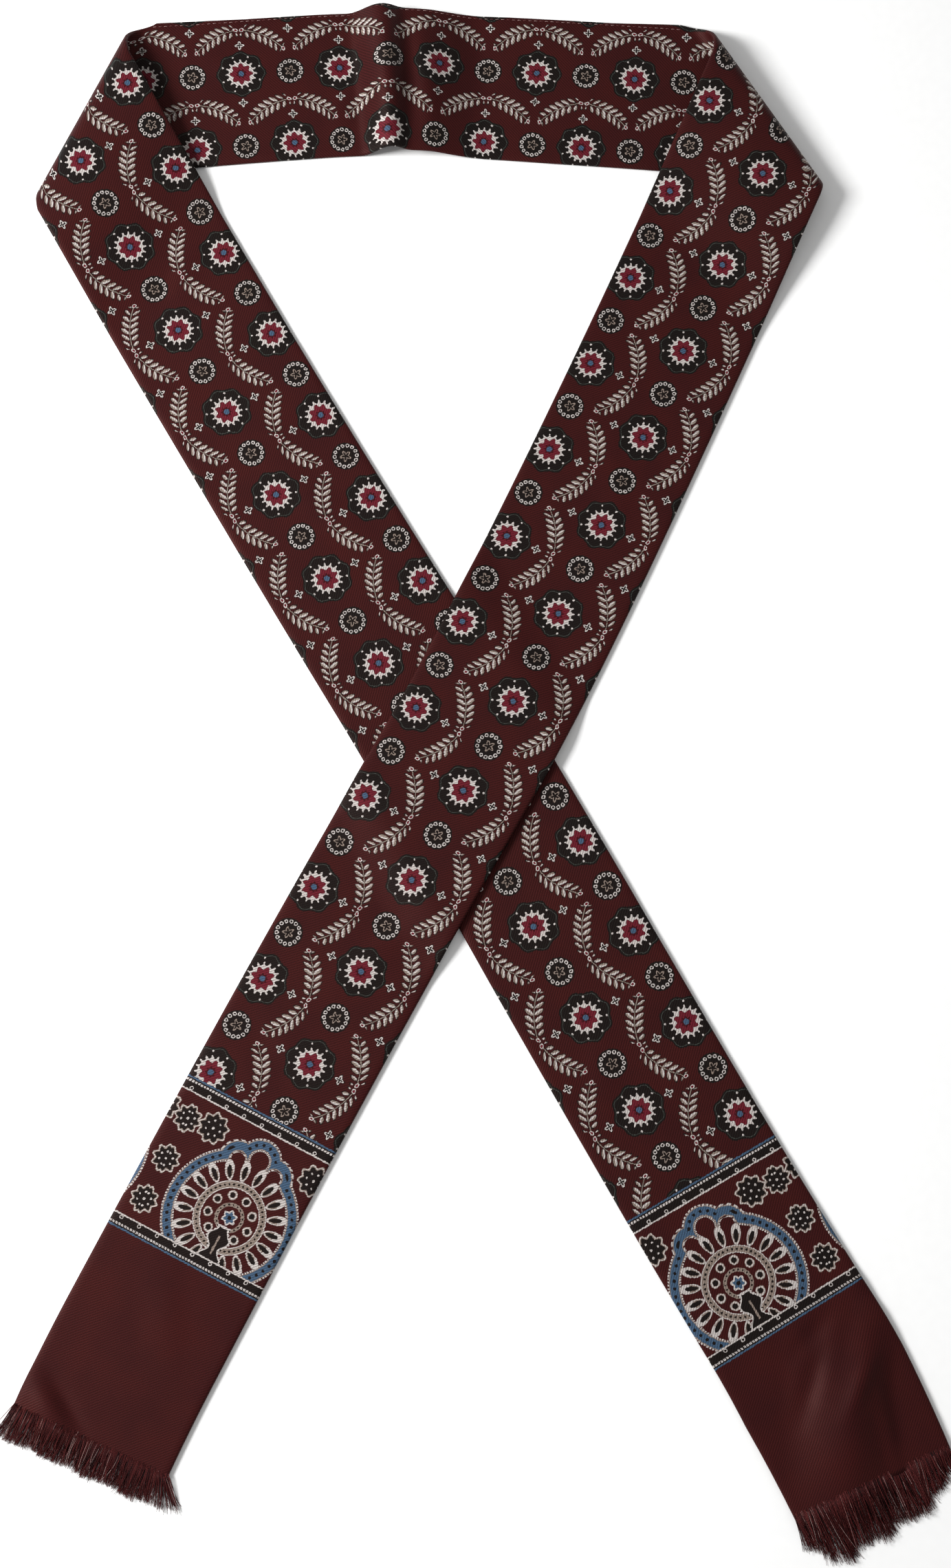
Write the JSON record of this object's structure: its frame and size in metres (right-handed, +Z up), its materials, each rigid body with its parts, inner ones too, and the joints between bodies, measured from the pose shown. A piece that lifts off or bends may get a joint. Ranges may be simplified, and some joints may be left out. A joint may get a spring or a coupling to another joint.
{
  "type": "skinny scarf",
  "caption": "Skinny silk twill scarf, folded lengthwise into a narrow tube with frayed ends, laid flat in a loop with its two legs crossed.",
  "frame": {"origin": "under the middle of the whole scarf's bounding box, on the surface that it lies on", "axes": "+X is right and +Y is towards the neck stretch, both along the surface, and +Z is up off it; the scarf is longest along Y"},
  "size_m": [0.4397, 0.7683, 0.0153],
  "materials": {
    "twill": "satin printed twill",
    "frayed_thread": "loose silk threads"
  },
  "bodies": {
    "root": {"neck": "twill", "leg_under": "twill", "leg_over": "twill", "fringe_under_upper": "frayed_thread", "fringe_under_lower": "frayed_thread", "fringe_over_upper": "frayed_thread", "fringe_over_lower": "frayed_thread"}
  },
  "joints": []
}
